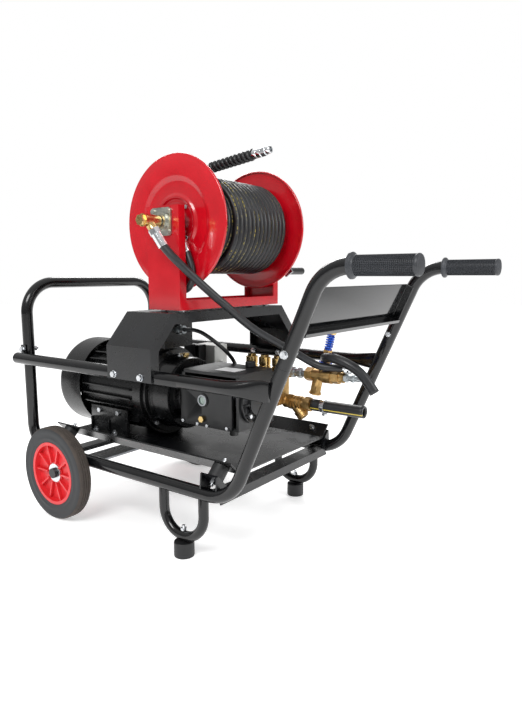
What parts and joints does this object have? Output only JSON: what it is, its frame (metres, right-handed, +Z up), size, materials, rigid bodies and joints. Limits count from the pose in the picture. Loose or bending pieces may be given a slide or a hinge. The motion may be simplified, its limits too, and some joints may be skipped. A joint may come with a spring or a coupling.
{
  "type": "electric drain jetting machine",
  "caption": "Wheeled tube-frame drain cleaning machine with an electric motor, a plunger pump, a hose reel on top and two push handles.",
  "frame": {"origin": "on the ground, at the middle of the machine's length and width", "axes": "+X forward to the handles, +Y to the side of the reel's crank, +Z up"},
  "size_m": [1.202, 0.615, 0.9753],
  "materials": {
    "frame_paint": "gloss black powder coat",
    "tray_paint": "satin black paint",
    "grip_rubber": "moulded, knurled",
    "foot_rubber": "moulded",
    "zinc_fasteners": "bright zinc plated",
    "axle_steel": "plain turned steel",
    "motor_paint": "gloss black enamel on castings",
    "stator_steel": "laminated electrical steel",
    "cable_jacket": "smooth cable jacket",
    "control_plastic": "moulded housings",
    "pump_casting": "black painted fine casting",
    "sight_lens": "clear lens",
    "brass": "machined and forged brass",
    "cover_plastic": "black moulded cover",
    "ceramic": "polished ceramic",
    "blue_spring": "blue coated spring",
    "plated_fittings": "galvanised",
    "hose_rubber": "smooth rubber hose",
    "reel_paint": "gloss red powder coat",
    "swivel_metal": "cast and turned",
    "reel_shaft_steel": "zinc plated",
    "tyre_rubber": "solid rubber",
    "rim_plastic": "red moulded",
    "switch_red": "moulded"
  },
  "bodies": {
    "trolley": {"side_tube_left": "frame_paint", "side_tube_right": "frame_paint", "rear_hoop": "frame_paint", "middle_rail_left": "frame_paint", "middle_rail_right": "frame_paint", "handle_tube_left": "frame_paint", "handle_tube_right": "frame_paint", "grip_left": "grip_rubber", "grip_right": "grip_rubber", "handle_panel": "frame_paint", "machine_bolts": "zinc_fasteners", "cross_members": "frame_paint", "axle": "axle_steel", "foot_loops": "frame_paint", "rubber_feet": "foot_rubber", "rubber_mounts": "foot_rubber", "mount_studs": "zinc_fasteners", "tray": "tray_paint", "motor_housing": "motor_paint", "stator_core": "stator_steel", "fan_cover": "motor_paint", "motor_feet": "motor_paint", "terminal_box": "motor_paint", "motor_cable": "cable_jacket", "control_boxes": "control_plastic", "bell_housing": "motor_paint", "crankcase": "pump_casting", "crankcase_covers": "pump_casting", "sight_glass": "sight_lens", "brass_plugs": "brass", "top_cover": "cover_plastic", "manifold": "brass", "valve_caps": "brass", "plungers": "ceramic", "unloader_valve": "brass", "unloader_spring": "blue_spring", "outlet_nipples": "plated_fittings", "bypass_hose": "hose_rubber", "y_strainer": "brass", "inlet_hose": "hose_rubber", "hose_clamp": "plated_fittings", "reel_table": "frame_paint", "reel_stand": "reel_paint", "swivel": "swivel_metal", "feed_hose": "hose_rubber", "hose_end": "hose_rubber"},
    "left_wheel": {"tyre_left": "tyre_rubber", "rim_left": "rim_plastic"},
    "right_wheel": {"tyre_right": "tyre_rubber", "rim_right": "rim_plastic"},
    "reel": {"reel_drum": "reel_paint", "reel_shaft": "reel_shaft_steel", "wound_hose": "hose_rubber"},
    "crank_handle": {"crank_grip": "cover_plastic"},
    "motor_rotor": {"rotor": "stator_steel", "cooling_fan": "cover_plastic", "crankshaft": "stator_steel"},
    "unloader_adjuster": {"unloader_knob": "brass"},
    "oil_filler_cap": {"oil_cap": "cover_plastic"},
    "motor_switch": {"switch_knob": "switch_red"}
  },
  "joints": [
    {"name": "left_wheel_spin", "type": "hinge", "parent": "trolley", "child": "left_wheel", "pos_m": [-0.42, -0.286, 0.13], "axis": [0, 1, 0], "continuous": true},
    {"name": "right_wheel_spin", "type": "hinge", "parent": "trolley", "child": "right_wheel", "pos_m": [-0.42, 0.286, 0.13], "axis": [0, 1, 0], "continuous": true},
    {"name": "reel_spin", "type": "hinge", "parent": "trolley", "child": "reel", "pos_m": [-0.068, 0, 0.802], "axis": [0, 1, 0], "continuous": true},
    {"name": "crank_grip_spin", "type": "hinge", "parent": "reel", "child": "crank_handle", "pos_m": [0.011, 0.268, 0.686], "axis": [0, 1, 0], "continuous": true},
    {"name": "rotor_spin", "type": "hinge", "parent": "trolley", "child": "motor_rotor", "pos_m": [-0.35, -0.04, 0.35], "axis": [1, 0, 0], "continuous": true},
    {"name": "unloader_turn", "type": "hinge", "parent": "trolley", "child": "unloader_adjuster", "pos_m": [0.22395, 0.116, 0.52738], "axis": [0.2079, 0, 0.9781], "range_deg": [-360, 360]},
    {"name": "oil_cap_turn", "type": "hinge", "parent": "trolley", "child": "oil_filler_cap", "pos_m": [0.027, 0.024, 0.43], "axis": [0, 0, 1], "range_deg": [0, 720]},
    {"name": "motor_switch_turn", "type": "hinge", "parent": "trolley", "child": "motor_switch", "pos_m": [-0.204, 0.16, 0.438], "axis": [0, 1, 0], "range_deg": [0, 60]}
  ]
}
